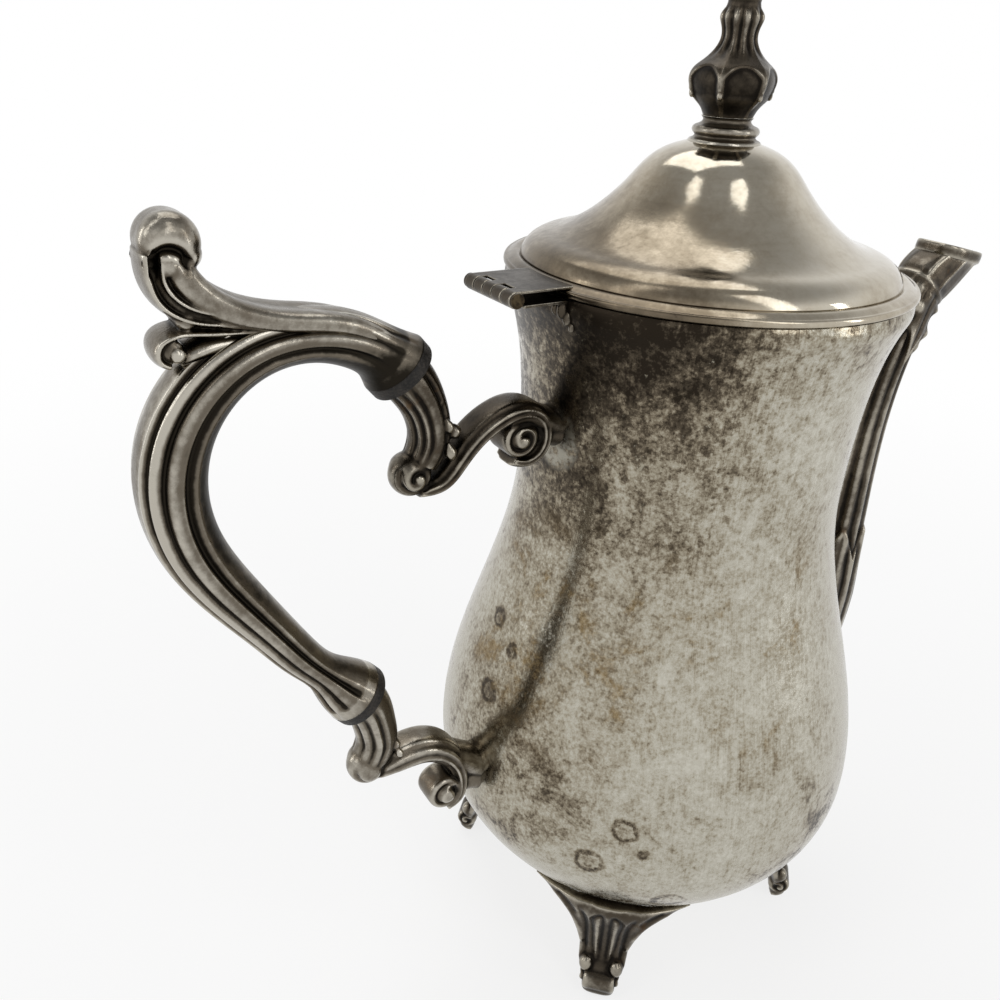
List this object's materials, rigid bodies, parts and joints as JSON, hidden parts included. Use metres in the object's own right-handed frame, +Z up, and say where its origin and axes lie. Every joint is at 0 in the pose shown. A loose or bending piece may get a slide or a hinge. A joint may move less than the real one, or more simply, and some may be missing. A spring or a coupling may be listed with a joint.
{
  "type": "footed serving pot with hinged lid",
  "caption": "Silver-plated baluster serving pot on cast feet, with a swan-neck spout, insulated scroll handle and hinged domed lid with turned finial, for pouring tea or coffee",
  "frame": {"origin": "on the pot's axis of turning, at the level of the four foot pads it stands on", "axes": "Z up along the axis of the body and lid, X towards the spout with the handle on -X, Y along the hinge pin"},
  "size_m": [0.2352, 0.1134, 0.243],
  "materials": {
    "silver_plate": "worn silver plate on brass, polished on the high places and tarnished brown to black in the recesses",
    "insulator": "dark moulded fibre, dull",
    "brass_fixing": "plain turned, dull"
  },
  "bodies": {
    "pot": {"body_bowl": "silver_plate", "body_shell": "silver_plate", "body_bottom": "silver_plate", "mouth_bezel": "silver_plate", "spout": "silver_plate", "spout_lip": "silver_plate", "upper_socket": "silver_plate", "upper_insulator": "insulator", "upper_stud": "brass_fixing", "handle_grip": "silver_plate", "thumb_scroll": "silver_plate", "lower_insulator": "insulator", "lower_stud": "brass_fixing", "lower_socket": "silver_plate", "body_hinge_leaf": "silver_plate", "hinge_pin": "brass_fixing", "foot_handle_right": "silver_plate", "foot_handle_left": "silver_plate", "foot_spout_left": "silver_plate", "foot_spout_right": "silver_plate"},
    "lid": {"lid_hinge_leaf": "silver_plate", "lid_rim": "silver_plate", "lid_dome": "silver_plate", "lid_flange": "silver_plate", "finial_base": "silver_plate", "finial": "silver_plate", "finial_stud": "brass_fixing", "finial_nut": "brass_fixing"}
  },
  "joints": [
    {"name": "lid_hinge", "type": "hinge", "parent": "pot", "child": "lid", "pos_m": [-0.0566, 0, 0.1852], "axis": [0, -1, 0], "range_deg": [0, 100]}
  ]
}
